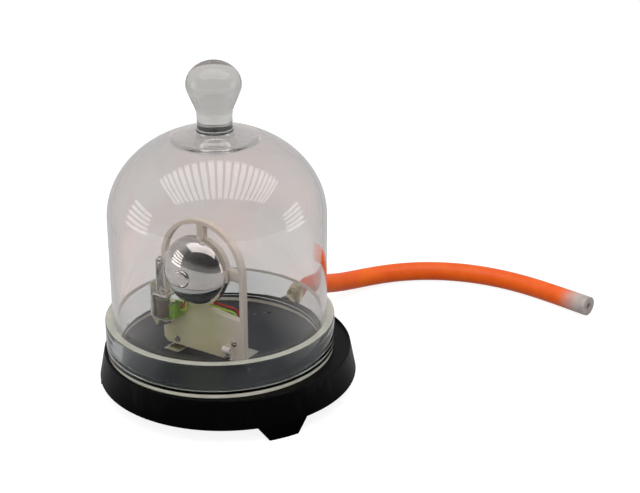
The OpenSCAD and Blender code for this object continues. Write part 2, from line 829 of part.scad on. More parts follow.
module nylon_clip() {
    loop_y = -clip_loop_r - rest_gap;
    clip_left = clip_shift - clip_w / 2;
    color("#ece9e6")
    in_stand() translate([screw_right_low[0], 0, screw_right_low[1]]) difference() {
        union() {
            box([clip_left, -clip_tab_t, -head_r], [clip_left + clip_w, 0, clip_rise]);
            along_plate(clip_left, loop_y, clip_rise) cylinder(r = clip_loop_r, h = clip_w);
        }
        along_plate(clip_left - slack, loop_y, clip_rise) cylinder(r = clip_bore_r, h = clip_w + 2 * slack);
        through_plate(0, 0) translate([0, 0, -clip_tab_t - slack])
            cylinder(r = screw_r + hole_clear, h = clip_tab_t + 2 * slack);
        through_plate(0, 0) translate([0, 0, -clip_tab_t - head_h - clip_loop_r])
            cylinder(r = head_r + hole_clear, h = head_h + clip_loop_r);
    }
}

// Wall of the gong: radius against distance in front of the plate
module gong_profile() {
    seat_turn = acos(gong_seat_r / gong_r);
    in_r = gong_r - gong_wall;
    in_dome = gong_dome_h - gong_wall;
    hole_turn = acos((post_thread_r + hole_clear) / in_r);
    dome_z = gong_gap + gong_rim_h;
    outside = ellipse_arc(gong_r, gong_dome_h, dome_z, 0, seat_turn, arc_steps);
    ceiling = gong_pole - gong_wall;
    roof_r = in_r * sqrt(1 - pow((ceiling - dome_z) / in_dome, 2));
    inside = ellipse_arc(in_r, in_dome, dome_z, acos(roof_r / in_r), 0, arc_steps);
    hole = post_thread_r + hole_clear;
    polygon(concat([[in_r, gong_gap], [gong_r, gong_gap]], outside,
        [[hole, gong_pole], [hole, ceiling]], inside));
}

module along_gong() {
    translate([0, 0, hub_h]) rotate([90, 0, 0]) children();
}

module gong() {
    color("#c8cbce")
    in_stand() along_gong() rotate_extrude() gong_profile();
}

module gong_cap() {
    bore_l = post_end - gong_pole + slip_clear;
    rise = cap_h * 0.55;
    dome = ellipse_arc(cap_r, cap_h - rise, gong_pole + rise, 0, 90, 8);
    color("#c8cbce")
    in_stand() along_gong() difference() {
        rotate_extrude() polygon(concat([[0, gong_pole], [cap_r, gong_pole]], dome));
        translate([0, 0, gong_pole - slack]) cylinder(r = post_thread_r + slip_clear, h = bore_l + slack);
    }
}

module gong_post() {
    tail = plate_t + post_nut_t + 1;
    color("#b4b6b8")
    in_stand() along_gong() {
        cylinder(r = post_r, h = gong_pole - gong_wall);
        translate([0, 0, -tail]) cylinder(r = post_thread_r, h = tail + post_end);
    }
}

module post_nut() {
    color("#b4b6b8")
    in_stand() along_gong() translate([0, 0, -plate_t - post_nut_t]) difference() {
        hexagon(post_nut_af, post_nut_t);
        translate([0, 0, -slack]) cylinder(r = post_thread_r + slip_clear, h = post_nut_t + 2 * slack);
    }
}

module magnet_bracket() {
    wall_in = wall_out + sheet_t;
    foot_front = mag_face + wall_slant;
    notch_h = hinge_z - blade_h;
    color("#a7a49b")
    in_stand() difference() {
        union() {
            translate([wall_out, 0, 0]) rotate([90, 0, 90]) linear_extrude(height = sheet_t)
                polygon([[foot_front, mag_foot_z], [0, mag_foot_z], [0, notch_h],
                    [my + wall_top_half, notch_h], [my + wall_top_half, mag_wall_z],
                    [mag_face, mag_wall_z], [mag_face, slant_top]]);
            translate([0, 0, mag_foot_z]) linear_extrude(height = sheet_t)
                polygon([[wall_out, foot_front], [wall_in, foot_front], [foot_x1, -sheet_t], [foot_x1, 0],
                    [wall_out, 0]]);
            rotate([90, 0, 0]) linear_extrude(height = sheet_t)
                polygon([[wall_in, mag_foot_z], [foot_x1, mag_foot_z],
                    [flange_x1, mag_foot_z + flange_x1 - foot_x1], [flange_x1, mag_foot_z + mag_flange_h],
                    [wall_in, mag_foot_z + mag_flange_h]]);
        }
        for (x = mag_screw_x)
            through_plate(x, mag_screw_h) translate([0, 0, -sheet_t - slack])
                cylinder(r = small_r + hole_clear, h = sheet_t + 2 * slack);
        along_plate(wall_out - slack, my, contact_h)
            cylinder(r = small_r + slip_clear, h = sheet_t + 2 * slack);
        along_plate(wall_out - slack, my, yoke_rivet_h)
            cylinder(r = small_r + hole_clear, h = sheet_t + 2 * slack);
    }
}

module magnet_screws() {
    color("#8d8f92")
    in_stand() for (x = mag_screw_x)
        through_plate(x, mag_screw_h) {
            translate([0, 0, -sheet_t]) rotate([180, 0, 0]) cylinder(r = small_head_r, h = small_head_h);
            translate([0, 0, -sheet_t]) cylinder(r = small_r, h = sheet_t + mag_screw_bite - slip_clear);
        }
}

module magnet_yoke() {
    color("#8f8c84")
    in_stand() difference() {
        union() {
            box([hx - sheet_t, mag_face, limb_z], [hx, mag_back, hinge_z - rest_gap]);
            box([hx - sheet_t, mag_face, limb_z], [hx + limb_l, mag_back, limb_top]);
        }
        translate([hx + core_x, my, limb_z - slack])
            cylinder(r = core_tail_r + slip_clear, h = sheet_t + 2 * slack);
        along_plate(hx - sheet_t - slack, my, yoke_rivet_h)
            cylinder(r = small_r + slip_clear, h = sheet_t + 2 * slack);
    }
}

module yoke_rivet() {
    color("#8d8f92")
    in_stand() along_plate(wall_out, my, yoke_rivet_h) {
        cylinder(r = small_r, h = 2 * sheet_t);
        rotate([180, 0, 0]) cylinder(r = small_head_r, h = yoke_rivet_head_h);
    }
}

module magnet_core() {
    color("#9a9a98")
    in_stand() translate([hx + core_x, my, 0]) {
        translate([0, 0, limb_z]) cylinder(r = core_tail_r, h = sheet_t);
        translate([0, 0, limb_top]) cylinder(r = core_r, h = core_top - limb_top);
        translate([0, 0, bobbin_top]) cylinder(r = core_pole_r, h = core_pole_t);
    }
}

module coil_bobbin() {
    flange_r = winding_r + flange_over;
    color("#6f9a2e")
    in_stand() difference() {
        union() {
            translate([hx + core_x, my, limb_top]) {
                cylinder(r = core_r + slip_clear + bobbin_wall, h = bobbin_top - limb_top);
                cylinder(r = flange_r, h = bobbin_flange_t);
                translate([0, 0, bobbin_top - limb_top - bobbin_flange_t])
                    cylinder(r = flange_r, h = bobbin_flange_t);
            }
            box([hx + core_x, my - block_step, limb_top],
                [block_x0 + slack, my + block_step, limb_top + bobbin_flange_t]);
            box([block_x0, block_front, limb_top], [block_x1, block_back, block_top]);
        }
        translate([hx + core_x, my, limb_top - slack])
            cylinder(r = core_r + slip_clear, h = bobbin_top - limb_top + 2 * slack);
        for (y = [block_front + slot_w, block_back - 2 * slot_w])
            box([block_x0 - slack, y, block_top - block_step],
                [block_x1 - slack, y + slot_w, block_top + slack]);
    }
}

module coil_winding() {
    low = limb_top + bobbin_flange_t + slip_clear;
    high = bobbin_top - bobbin_flange_t - slip_clear;
    color("#5a4438")
    in_stand() translate([hx + core_x, my, low]) difference() {
        cylinder(r = winding_r, h = high - low);
        translate([0, 0, -slack])
            cylinder(r = core_r + bobbin_wall + 2 * slip_clear, h = high - low + 2 * slack);
    }
}

module contact_screw() {
    tip_x = hx + arm_x - rest_gap;
    color("#b8a25a")
    in_stand() along_plate(wall_out - contact_back, my, contact_h)
        cylinder(r = small_r, h = tip_x - wall_out + contact_back);
}

module contact_nut() {
    color("#b8a25a")
    in_stand() along_plate(wall_out - contact_nut_t, my, contact_h) difference() {
        hexagon(contact_nut_af, contact_nut_t);
        translate([0, 0, -slack]) cylinder(r = small_r + slip_clear, h = contact_nut_t + 2 * slack);
    }
}

module spring_blade() {
    front = my + wall_top_half + hole_clear;
    color("#bfc1c2")
    in_stand() box([wall_out + sheet_t - blade_t, front, hinge_z - blade_h + rest_gap],
        [wall_out + sheet_t, front + blade_w, armature_top]);
}

module armature() {
    color("#b7b4ab")
    in_stand() difference() {
        box([hx - armature_tail, mag_face + armature_trim, hinge_z],
            [hx + armature_l, armature_back, armature_top]);
        translate([hx + rivet_x, ay, hinge_z - slack])
            cylinder(r = rivet_r + slip_clear, h = sheet_t + 2 * slack);
    }
}

module clapper_arm() {
    left = hx + arm_x;
    color("#c2c0ba")
    in_stand() difference() {
        union() {
            box([left, ay - arm_w / 2, armature_top], [left + arm_t, ay + arm_w / 2, striker_z]);
            along_plate(left, ay, striker_z) cylinder(r = arm_w / 2, h = arm_t);
            box([left, ay - arm_w / 2, armature_top],
                [left + arm_foot_l, ay + arm_w / 2, armature_top + arm_t]);
        }
        translate([hx + rivet_x, ay, armature_top - slack])
            cylinder(r = rivet_r + slip_clear, h = arm_t + 2 * slack);
        along_plate(left - slack, ay, striker_z)
            cylinder(r = striker_pin_r + slip_clear, h = arm_t + 2 * slack);
    }
}

module arm_rivet() {
    color("#d0cec8")
    in_stand() translate([hx + rivet_x, ay, hinge_z]) {
        cylinder(r = rivet_r, h = sheet_t + arm_t);
        translate([0, 0, sheet_t + arm_t]) cylinder(r = rivet_head_r, h = rivet_head_h);
    }
}

module striker() {
    nose = ellipse_arc(striker_r, striker_l / 2, striker_l / 2, 0, 90, 8);
    color("#c2c0ba")
    in_stand() along_plate(hx + arm_x + arm_t, ay, striker_z) {
        rotate_extrude() polygon(concat([[0, 0], [striker_r, 0]], nose));
        translate([0, 0, -arm_t]) cylinder(r = striker_pin_r, h = arm_t);
        translate([0, 0, -arm_t - striker_tail_l]) cylinder(r = striker_tail_r, h = striker_tail_l);
    }
}

module lead_gland() {
    color("#262626")
    in_stand() translate([gland_x, gland_y, 0]) difference() {
        union() {
            translate([0, 0, -deck_t - gland_lip_t]) cylinder(r = gland_r, h = deck_t + 2 * gland_lip_t);
            cylinder(r = gland_lip_r, h = gland_lip_t);
            translate([0, 0, -deck_t - gland_lip_t]) cylinder(r = gland_lip_r, h = gland_lip_t);
        }
        for (side = [-1, 1])
            translate([side * lead_half_pitch, 0, -deck_t - gland_lip_t - slack])
                cylinder(r = lead_r + slip_clear, h = deck_t + 2 * gland_lip_t + 2 * slack);
    }
}

// A lead from the terminal block, behind the gong, through the right window and down the gland
function lead_above(upper, x) = let (rise = upper * lead_step) [for (p = concat(
    [for (e = lead_exit) [block_x1 + e[0] + upper * e[3], e[1] + upper * e[4], lead_h + e[2] + rise]],
    [for (w = lead_way) [w[0] + upper * w[3], w[1] + upper * w[4], lead_crest + w[2] + rise]],
    [[x, gland_y, lead_down[0] + rise], [x, gland_y, lead_down[1]],
        [x, gland_y, -deck_t - gland_lip_t - lead_out]])) from_stand(p)];

// The same lead under the deck, to the back of a socket on bearing az
function lead_below(upper, x, az, sag) =
    let (top = from_stand([x, gland_y, -deck_t - lead_turn]), end = on_bearing(socket_in, az, socket_z),
        near = on_bearing(socket_in - lead_straight, az, socket_z), low = socket_z - sag,
        mid = [(top[0] + near[0]) / 2, (top[1] + near[1]) / 2, low])
    concat([for (u = lead_under) [top[0] + u[0] + upper * u[3], top[1] + u[1] + upper * u[4], low + u[2]]],
        [mid, near, end]);

module lead(upper, side, az, sag) {
    x = gland_x + side * lead_half_pitch;
    route = concat(lead_above(upper, x), lead_below(upper, x, az, sag));
    start = from_stand([1, 0, 0]) - from_stand([0, 0, 0]);
    tube_along(route, lead_r, lead_sides, start, on_bearing(1, az, 0), lead_ref);
}

module lead_red() {
    color("#c8321e") lead(1, -1, socket_az + socket_pitch, sag_red);
}

module lead_green() {
    color("#9fc93a") lead(0, 1, socket_az, sag_green);
}

base_moulding();
sealing_ring();
jar_dome();
jar_collar();
jar_knob();
hose_connector();
connector_seal();
hose_ferrule();
vacuum_hose();
hose_end();
socket_red();
socket_black();
socket_nuts();
stand_plate();
bracket_left();
bracket_right();
plate_screws();
plate_nuts();
bracket_screws();
nylon_clip();
gong();
gong_cap();
gong_post();
post_nut();
magnet_bracket();
magnet_screws();
magnet_yoke();
yoke_rivet();
magnet_core();
coil_bobbin();
coil_winding();
contact_screw();
contact_nut();
spring_blade();
armature();
clapper_arm();
arm_rivet();
striker();
lead_gland();
lead_red();
lead_green();
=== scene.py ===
"""Looks of the bell jar: a glass jar over an electric bell, on a black base with a vacuum hose.

The object's lengths are written in millimetres in the part's frame and turned to metres where a
mesh or a material is made. The camera, the floor and the lamps are written in metres.
"""

import math

import bmesh
import bpy
from mathutils import Matrix, Vector


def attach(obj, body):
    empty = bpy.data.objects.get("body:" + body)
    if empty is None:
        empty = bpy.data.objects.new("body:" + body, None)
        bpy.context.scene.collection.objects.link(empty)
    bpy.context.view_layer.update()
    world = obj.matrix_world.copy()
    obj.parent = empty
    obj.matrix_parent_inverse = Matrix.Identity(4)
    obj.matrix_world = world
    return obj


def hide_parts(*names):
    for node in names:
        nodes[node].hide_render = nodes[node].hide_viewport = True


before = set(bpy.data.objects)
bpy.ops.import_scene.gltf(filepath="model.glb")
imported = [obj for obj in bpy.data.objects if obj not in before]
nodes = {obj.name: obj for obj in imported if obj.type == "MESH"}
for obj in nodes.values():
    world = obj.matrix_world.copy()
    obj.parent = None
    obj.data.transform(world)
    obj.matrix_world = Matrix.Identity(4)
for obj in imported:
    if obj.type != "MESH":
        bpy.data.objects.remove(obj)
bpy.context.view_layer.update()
scene = bpy.context.scene
scene.view_settings.view_transform = "Standard"
# Light runs many times to and fro inside the thick glass
scene.cycles.max_bounces = 24
scene.cycles.glossy_bounces = 20
scene.cycles.transmission_bounces = 20
MM = 0.001


def in_scene(name, data):
    """An object in the scene for a mesh, a curve, a lamp or the camera."""
    thing = bpy.data.objects.new(name, data)
    scene.collection.objects.link(thing)
    return thing


def heading(degrees):
    """A level direction at an angle from X."""
    turn = math.radians(degrees)
    return Vector((math.cos(turn), math.sin(turn), 0))


# Camera: 1.1 m away, looking 23 degrees down and a little to the right, as the photograph was taken
CAMERA_DOWN = 23.28
CAMERA_RIGHT = 4.236
camera = in_scene("camera", bpy.data.cameras.new("camera"))
camera.location = (-0.00547, -1.01595, 0.547)
camera.rotation_euler = (math.radians(90 - CAMERA_DOWN), 0, math.radians(-CAMERA_RIGHT))
camera.data.lens = 84.375
camera.data.sensor_width = 36
scene.camera = camera

# Hose: out of the ferrule at the back, down to the table and round to the right in one slack bend.
# Its grey end goes straight on. The colour goes over between two distances from the tip.
HOSE = [
    (66.446, 102.318, 24), (73, 112.3, 23.6), (79.4, 121.4, 21.6), (86.2, 129.5, 18.8),
    (95.6, 139.2, 15), (108.6, 150.6, 11.6), (125, 161.4, 9.4), (143, 168.8, 8.4),
    (162, 172.2, 8.1), (181, 171.8, 8.1), (200, 168.2, 8.1), (218, 161.8, 8.1),
    (235, 152.7, 8.1), (250, 142.2, 8.1), (263.5, 130.3, 8.1), (276, 117.6, 8.1), (285, 108, 8.1),
]
HOSE_R = 8
HOSE_HEADING = -47.4
HOSE_END_LENGTH = 23
HOSE_TIP = Vector(HOSE[-1]) + HOSE_END_LENGTH * heading(HOSE_HEADING)
HOSE_GREY = 8
HOSE_ORANGE = 30

# The stand's own frame: X along the plate, Y to the back, Z up from the deck
DECK = 31
STAND_TURN = -37
STAND = Matrix.Translation((-18.3, -17.9, DECK)) @ Matrix.Rotation(math.radians(STAND_TURN), 4, "Z")
# The gong's axis, from the plate's front face to the front
GONG_Z = 71.6
GONG = STAND @ Matrix.Translation((0, 0, GONG_Z)) @ Matrix.Rotation(math.radians(90), 4, "X")
# The plate is olive round a point near its foot and goes paler and greyer from one distance to
# another: painted light, for the light that shines through the sheet from behind its upper part
PLATE_OLIVE_SHADE_POINT = STAND @ Vector((-12, -1.5, 18))
PLATE_PAINTED_LIGHT = (18, 54)

# Jar: its axis, its radii outside and inside, and heights above the table. Both faces of the dome
# rise from the shoulder.
JAR = Matrix.Translation((-5.2, 0, 0))
JAR_R = 80
JAR_INNER_R = 76.5
SHOULDER = 136.9
DOME_RISE = 65.8
INNER_RISE = 62.3
COLLAR_R = 85.6
COLLAR_TOP = 57.4
COLLAR_FOOT = 34
# The glass goes over to the knob's tint between two heights, and to the collar's this near its top
KNOB_TINT = (200, 206)
COLLAR_EDGE = 0.2


def linear(code):
    """A colour written as an sRGB hex value, in the linear numbers that shaders take."""
    parts = [int(code[i : i + 2], 16) / 255 for i in (1, 3, 5)]
    return [*[p / 12.92 if p <= 0.04045 else ((p + 0.055) / 1.055) ** 2.4 for p in parts], 1]


WHITE = linear("#ffffff")
# A noise stays mostly between these two values
NOISE_LOW = 0.3
NOISE_HIGH = 0.7


def emptied(block):
    """The node tree of a new material or world, with nothing in it."""
    block.use_nodes = True
    block.node_tree.nodes.clear()
    return block.node_tree


def add(tree, kind, inputs=None, **settings):
    """One node in a tree, with its settings, and its inputs linked or filled."""
    node = tree.nodes.new("ShaderNode" + kind)
    for key, value in settings.items():
        setattr(node, key, value)
    for key, value in (inputs or {}).items():
        if isinstance(value, bpy.types.NodeSocket):
            tree.links.new(value, node.inputs[key])
        else:
            node.inputs[key].default_value = value
    return node


def set_stops(tones, positions, codes):
    """The two stops of a colour ramp, each at its position with its colour."""
    for stop, position, code in zip(tones.color_ramp.elements, positions, codes):
        stop.position = position
        stop.color = linear(code)


def finish(name, deep, pale, patch, grain, relief, gloss, fade=None, **sockets):
    """A material with patches between two colours, a grain in its relief and a spread of roughness.

    patch and grain are in millimetres, relief is the grain's height in millimetres and gloss is the
    lowest and highest roughness. fade is a point, the two distances from it in millimetres between
    which the colour goes over, and the colour it goes to. The rest is set on the shader's sockets.
    """
    material = bpy.data.materials.new(name)
    tree = emptied(material)
    place = add(tree, "TexCoord").outputs["Object"]
    clouds = add(
        tree,
        "TexNoise",
        {"Vector": place, "Scale": 1 / (patch * MM), "Detail": 5, "Roughness": 0.6},
    )
    tones = add(tree, "ValToRGB", {"Fac": clouds.outputs["Fac"]})
    set_stops(tones, (0.32, 0.68), (deep, pale))
    colour = tones.outputs["Color"]
    if fade:
        point, start, end, code = fade
        away = add(tree, "VectorMath", {0: place, 1: Vector(point) * MM}, operation="DISTANCE")
        share = add(
            tree,
            "MapRange",
            {"Value": away.outputs["Value"], "From Min": start * MM, "From Max": end * MM},
            interpolation_type="SMOOTHSTEP",
        )
        faded = add(
            tree,
            "Mix",
            {"Factor": share.outputs["Result"], 6: colour, 7: linear(code)},
            data_type="RGBA",
        )
        colour = faded.outputs[2]
    speckle = add(tree, "TexNoise", {"Vector": place, "Scale": 1 / (grain * MM), "Detail": 3})
    wear = add(
        tree,
        "MapRange",
        {
            "Value": clouds.outputs["Fac"],
            "From Min": NOISE_LOW,
            "From Max": NOISE_HIGH,
            "To Min": gloss[0],
            "To Max": gloss[1],
        },
    )
    bump = add(
        tree, "Bump", {"Height": speckle.outputs["Fac"], "Strength": 0.6, "Distance": relief * MM}
    )
    names = {key: key.replace("_", " ").title().replace("Ior", "IOR") for key in sockets}
    shader = add(
        tree,
        "BsdfPrincipled",
        {
            "Base Color": colour,
            "Roughness": wear.outputs["Result"],
            "Normal": bump.outputs["Normal"],
            **{names[key]: value for key, value in sockets.items()},
        },
    )
    add(tree, "OutputMaterial", {"Surface": shader.outputs["BSDF"]})
    return material


# Black ABS, injection moulded, its deck rubbed dull: dark grey, with a weak blurred mirror image of
# the stand
deck_abs = finish(
    "rubbed_black_abs", "#33363a", "#3a3d41",
    patch=34, grain=5, relief=0.0006, gloss=(0.2, 0.28), specular_ior_level=0.35,
)
# Black ABS, injection moulded with a satin skin: the skirt is deep black and only glints where the
# eye grazes it
skirt_abs = finish(
    "satin_black_abs", "#030303", "#060505",
    patch=30, grain=1.2, relief=0.012, gloss=(0.3, 0.4), specular_ior_level=0.05,
)
# Silicone rubber, cut from sheet: cream, matt, slightly yellowed in patches
cream_silicone = finish(
    "cut_cream_silicone", "#dcd8c4", "#efece0",
    patch=12, grain=0.8, relief=0.02, gloss=(0.5, 0.65),
)
# Steel with bright nickel and chrome plating, polished: a mirror with faint rubbing marks
chrome = finish(
    "polished_chrome_plate", "#e2e1e0", "#f3f2f1",
    patch=18, grain=3, relief=0.002, gloss=(0.03, 0.07), metallic=1,
)
# Steel sheet with bright zinc plating, pressed: silvery, a little warm, soft reflections
zinc = finish(
    "pressed_zinc_plated_steel", "#dedcd8", "#f4f2ef",
    patch=5, grain=0.5, relief=0.006, gloss=(0.14, 0.26), metallic=1,
)
# Steel with nickel plating, turned and pressed screws: as bright as the sheet, and sharper
screw_steel = finish(
    "turned_nickel_plated_steel", "#dcdad7", "#f6f4f1",
    patch=3, grain=0.4, relief=0.003, gloss=(0.08, 0.16), metallic=1,
)
# Soft iron, bare and annealed: grey, dull, with darker patches
soft_iron = finish(
    "annealed_soft_iron", "#a09c94", "#cbc7be",
    patch=4, grain=0.5, relief=0.015, gloss=(0.26, 0.4), metallic=1,
)
# Brass with thin nickel on it, turned: pale yellow where the plating is worn
pale_brass = finish(
    "turned_pale_brass", "#e6d08e", "#fbf0cc",
    patch=4, grain=0.5, relief=0.008, gloss=(0.2, 0.36), metallic=1,
)
# Glass and epoxy laminate, sawn from sheet: olive-ivory and cloudy inside, with painted light that
# makes it paler and greyer towards its top, for the light shining through it from behind
laminate = finish(
    "sawn_glass_epoxy_sheet", "#dcdeb2", "#e9eac8",
    patch=16, grain=0.5, relief=0.012, gloss=(0.36, 0.5),
    # painted light: paler and greyer away from the plate's foot
    fade=(PLATE_OLIVE_SHADE_POINT, *PLATE_PAINTED_LIGHT, "#e9e0d6"),
    ior=1.53,
    subsurface_weight=0.5,
    subsurface_radius=(1, 0.95, 0.7),
    subsurface_scale=4 * MM,
)
# Nylon, moulded white clip: bright and slightly waxy
nylon = finish(
    "moulded_white_nylon", "#ebe8e3", "#f7f5f1",
    patch=5, grain=0.6, relief=0.01, gloss=(0.35, 0.45),
)
# Silicone rubber tube, extruded: saturated orange with a soft sheen and a dusty bloom, going grey
# at its tip
orange_tube = finish(
    "extruded_orange_silicone", "#ea5402", "#f46806",
    patch=22, grain=0.9, relief=0.02, gloss=(0.38, 0.52),
    fade=(HOSE_TIP, HOSE_ORANGE, HOSE_GREY, "#b3aaa5"),
    specular_ior_level=0.3,
)
# Grey rubber cuff, moulded: matt mid grey, tinged with orange towards the tube
grey_rubber = finish(
    "moulded_grey_rubber", "#a49a95", "#bdb4af",
    patch=8, grain=0.7, relief=0.02, gloss=(0.5, 0.65),
    fade=(HOSE_TIP, HOSE_GREY, HOSE_ORANGE, "#ee5f06"),
)
# Black rubber, moulded gland and washer: matt, a little dusty
black_rubber = finish(
    "moulded_black_rubber", "#141414", "#242424",
    patch=6, grain=0.6, relief=0.02, gloss=(0.55, 0.7),
)
# Polyamide, moulded terminal block: leaf green
green_nylon = finish(
    "moulded_green_polyamide", "#5f9012", "#8cbc22",
    patch=4, grain=0.5, relief=0.012, gloss=(0.34, 0.46),
)
# Polyamide, moulded bobbin flanges: an olive green of their own, darkened further by painted shade
# for the shadow they lie in, dull
olive_nylon_painted_shade = finish(
    "olive_polyamide_painted_shade", "#4b4a34", "#6c6a4e",
    patch=4, grain=0.5, relief=0.012, gloss=(0.36, 0.5),
)
# Crepe paper tape round the winding: brown, dry, with small creases
brown_tape = finish(
    "wrapped_brown_crepe_tape", "#3c2a20", "#64493a",
    patch=2.4, grain=0.6, relief=0.05, gloss=(0.55, 0.7),
)
# PVC insulation, extruded: yellow-green lead
green_pvc = finish(
    "extruded_green_pvc", "#a6c92a", "#cfe85c",
    patch=5, grain=0.5, relief=0.006, gloss=(0.3, 0.42),
)
# PVC insulation, extruded: red lead
red_pvc = finish(
    "extruded_red_pvc", "#b3261a", "#d8452c",
    patch=5, grain=0.5, relief=0.006, gloss=(0.3, 0.42),
)
# Red ABS, moulded socket: glossy
red_abs = finish(
    "moulded_red_abs", "#a01818", "#bf2626",
    patch=9, grain=0.8, relief=0.008, gloss=(0.22, 0.32),
)

# Glass: its index, the length and height of the waves in its wall, and the size of its warm and
# cool patches
GLASS_IOR = 1.47
WAVE = 26
WAVE_HEIGHT = 0.16
CAST = 60


def clear(name, warm, cool, knob, collar):
    """Clear glass: it bends and mirrors what the eye sees, and lets lamps light what is under it.

    Shadow and diffuse rays go straight through, because a lamp's light doesn't reach the bell
    otherwise. The solid knob has its own tint, and so has the collar.
    """
    material = bpy.data.materials.new(name)
    tree = emptied(material)
    place = add(tree, "TexCoord").outputs["Object"]
    waves = add(tree, "TexNoise", {"Vector": place, "Scale": 1 / (WAVE * MM), "Detail": 3})
    ripple = add(
        tree,
        "Bump",
        {"Height": waves.outputs["Fac"], "Strength": 0.3, "Distance": WAVE_HEIGHT * MM},
    )
    haze = add(
        tree,
        "MapRange",
        {
            "Value": waves.outputs["Fac"],
            "From Min": NOISE_LOW,
            "From Max": NOISE_HIGH,
            "To Min": 0,
            "To Max": 0.02,
        },
    )
    clouds = add(tree, "TexNoise", {"Vector": place, "Scale": 1 / (CAST * MM), "Detail": 1})
    casts = add(tree, "ValToRGB", {"Fac": clouds.outputs["Fac"]})
    set_stops(casts, (0.38, 0.64), (warm, cool))
    tint = casts.outputs["Color"]
    height = add(tree, "SeparateXYZ", {"Vector": place}).outputs["Z"]
    collar_tint = (COLLAR_TOP + COLLAR_EDGE, COLLAR_TOP - COLLAR_EDGE)
    for (start, end), code in ((KNOB_TINT, knob), (collar_tint, collar)):
        share = add(
            tree, "MapRange", {"Value": height, "From Min": start * MM, "From Max": end * MM}
        )
        tinted = add(
            tree,
            "Mix",
            {"Factor": share.outputs["Result"], 6: tint, 7: linear(code)},
            data_type="RGBA",
        )
        tint = tinted.outputs[2]
    shader = add(
        tree,
        "BsdfPrincipled",
        {
            "Base Color": tint,
            "Roughness": haze.outputs["Result"],
            "Transmission Weight": 1,
            "IOR": GLASS_IOR,
            "Normal": ripple.outputs["Normal"],
        },
    )
    rays = add(tree, "LightPath")
    straight = add(
        tree,
        "Math",
        {0: rays.outputs["Is Shadow Ray"], 1: rays.outputs["Is Diffuse Ray"]},
        operation="MAXIMUM",
    )
    through = add(tree, "BsdfTransparent", {"Color": linear("#fbfafa")})
    both = add(
        tree,
        "MixShader",
        {0: straight.outputs["Value"], 1: shader.outputs["BSDF"], 2: through.outputs["BSDF"]},
    )
    depth = add(tree, "VolumeAbsorption", {"Color": linear("#b3b8b5"), "Density": 4.5})
    add(
        tree,
        "OutputMaterial",
        {"Surface": both.outputs["Shader"], "Volume": depth.outputs["Volume"]},
    )
    return material


# Blown soda glass with a faint grey cast, warm in some places and cool in others, with slow waves
# in its wall: greyer in the solid knob, and cooler in the collar
jar_glass = clear("blown_clear_glass", "#e1d9d7", "#dad9d8", "#bab8b5", "#c9cdcd")
# Flame-polished rim of the collar: clear too, but it scatters the light and looks pale
pale_rim = finish(
    "flame_polished_rim", "#cfcebd", "#e4e3d6",
    patch=9, grain=0.6, relief=0.02, gloss=(0.3, 0.45), transmission_weight=0.5, ior=GLASS_IOR,
)

# Edges that turn by more than this, in degrees, are shaded sharp: on turned pieces, and on pieces
# whose edges are rounded
CREASE = 32
ROUNDED_CREASE = 20
# Points nearer than this are one: at the axis of a turned piece, and in a CAD node's triangles
AXIS_GAP = 0.0005
NODE_GAP = 0.002
# Faces of a CAD node that meet at less than the first angle are one, and edges that turn by more
# than the second are rounded, both in degrees
FLAT = 1
SHARP = 32


def placed(name, data, body, replaced):
    """A mesh or a curve as one piece of the object, riding on a body in place of CAD nodes."""
    thing = in_scene(name, data)
    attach(thing, body)
    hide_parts(*replaced)
    return thing


def piece(name, bm, body, replaced, slot, *materials, crease=ROUNDED_CREASE):
    """A finished mesh as one piece, with its materials, shaded smooth up to the crease angle."""
    mesh = bpy.data.meshes.new(name)
    bm.to_mesh(mesh)
    bm.free()
    mesh.shade_smooth()
    mesh.set_sharp_from_angle(angle=math.radians(crease))
    for material in materials:
        mesh.materials.append(material)
    return placed(name, mesh, body, replaced)


def arc(rx, rz, cz, start, end, steps):
    """Points of an ellipse round (0, cz), from one angle to another."""
    turns = [math.radians(start + (end - start) * i / steps) for i in range(steps + 1)]
    return [(rx * math.cos(t), cz + rz * math.sin(t)) for t in turns]


def angle_at(r, rx):
    """The angle at which an ellipse that is rx wide has come in to the radius r."""
    return math.degrees(math.acos(r / rx))


def turned(outline, place, steps, ring=False):
    """A turned shape: an outline of radius and height, spun round Z and put in its place.

    A ring's outline goes back to its first point.
    """
    bm = bmesh.new()
    row = [bm.verts.new((r, 0, z)) for r, z in outline]
    follow = row[1:] + row[:1] if ring else row[1:]
    edges = [bm.edges.new(pair) for pair in zip(row, follow)]
    bmesh.ops.spin(
        bm,
        geom=row + edges,
        axis=(0, 0, 1),
        cent=(0, 0, 0),
        angle=math.tau,
        steps=steps,
        use_merge=True,
    )
    bmesh.ops.remove_doubles(bm, verts=bm.verts, dist=AXIS_GAP)
    bmesh.ops.recalc_face_normals(bm, faces=bm.faces)
    bmesh.ops.transform(bm, matrix=Matrix.Scale(MM, 4) @ place, verts=bm.verts)
    return bm


def softened(node, width):
    """A copy of a CAD node, its loose triangles merged and its sharp edges rounded by a width."""
    bm = bmesh.new()
    bm.from_mesh(nodes[node].data)
    bmesh.ops.remove_doubles(bm, verts=bm.verts, dist=NODE_GAP * MM)
    bmesh.ops.dissolve_limit(bm, angle_limit=math.radians(FLAT), verts=bm.verts, edges=bm.edges)
    inner = [edge for edge in bm.edges if len(edge.link_faces) == 2]
    bmesh.ops.bevel(
        bm,
        geom=[edge for edge in inner if edge.calc_face_angle() > math.radians(SHARP)],
        offset=width * MM,
        offset_type="OFFSET",
        affect="EDGES",
        segments=2,
        profile=0.5,
        material=-1,
        clamp_overlap=True,
    )
    return bm


def strand(name, points, radius, replaced, material):
    """A smooth round strand through points, which rides on the base: the hose or a lead."""
    line = bpy.data.curves.new(name, "CURVE")
    line.dimensions = "3D"
    spline = line.splines.new("BEZIER")
    spline.bezier_points.add(len(points) - 1)
    for knot, point in zip(spline.bezier_points, points):
        knot.co = Vector(point) * MM
        knot.handle_left_type = knot.handle_right_type = "AUTO"
    line.resolution_u = 10
    line.bevel_depth = radius * MM
    line.bevel_resolution = 7
    line.use_fill_caps = True
    line.materials.append(material)
    return placed(name, line, "base", [replaced])


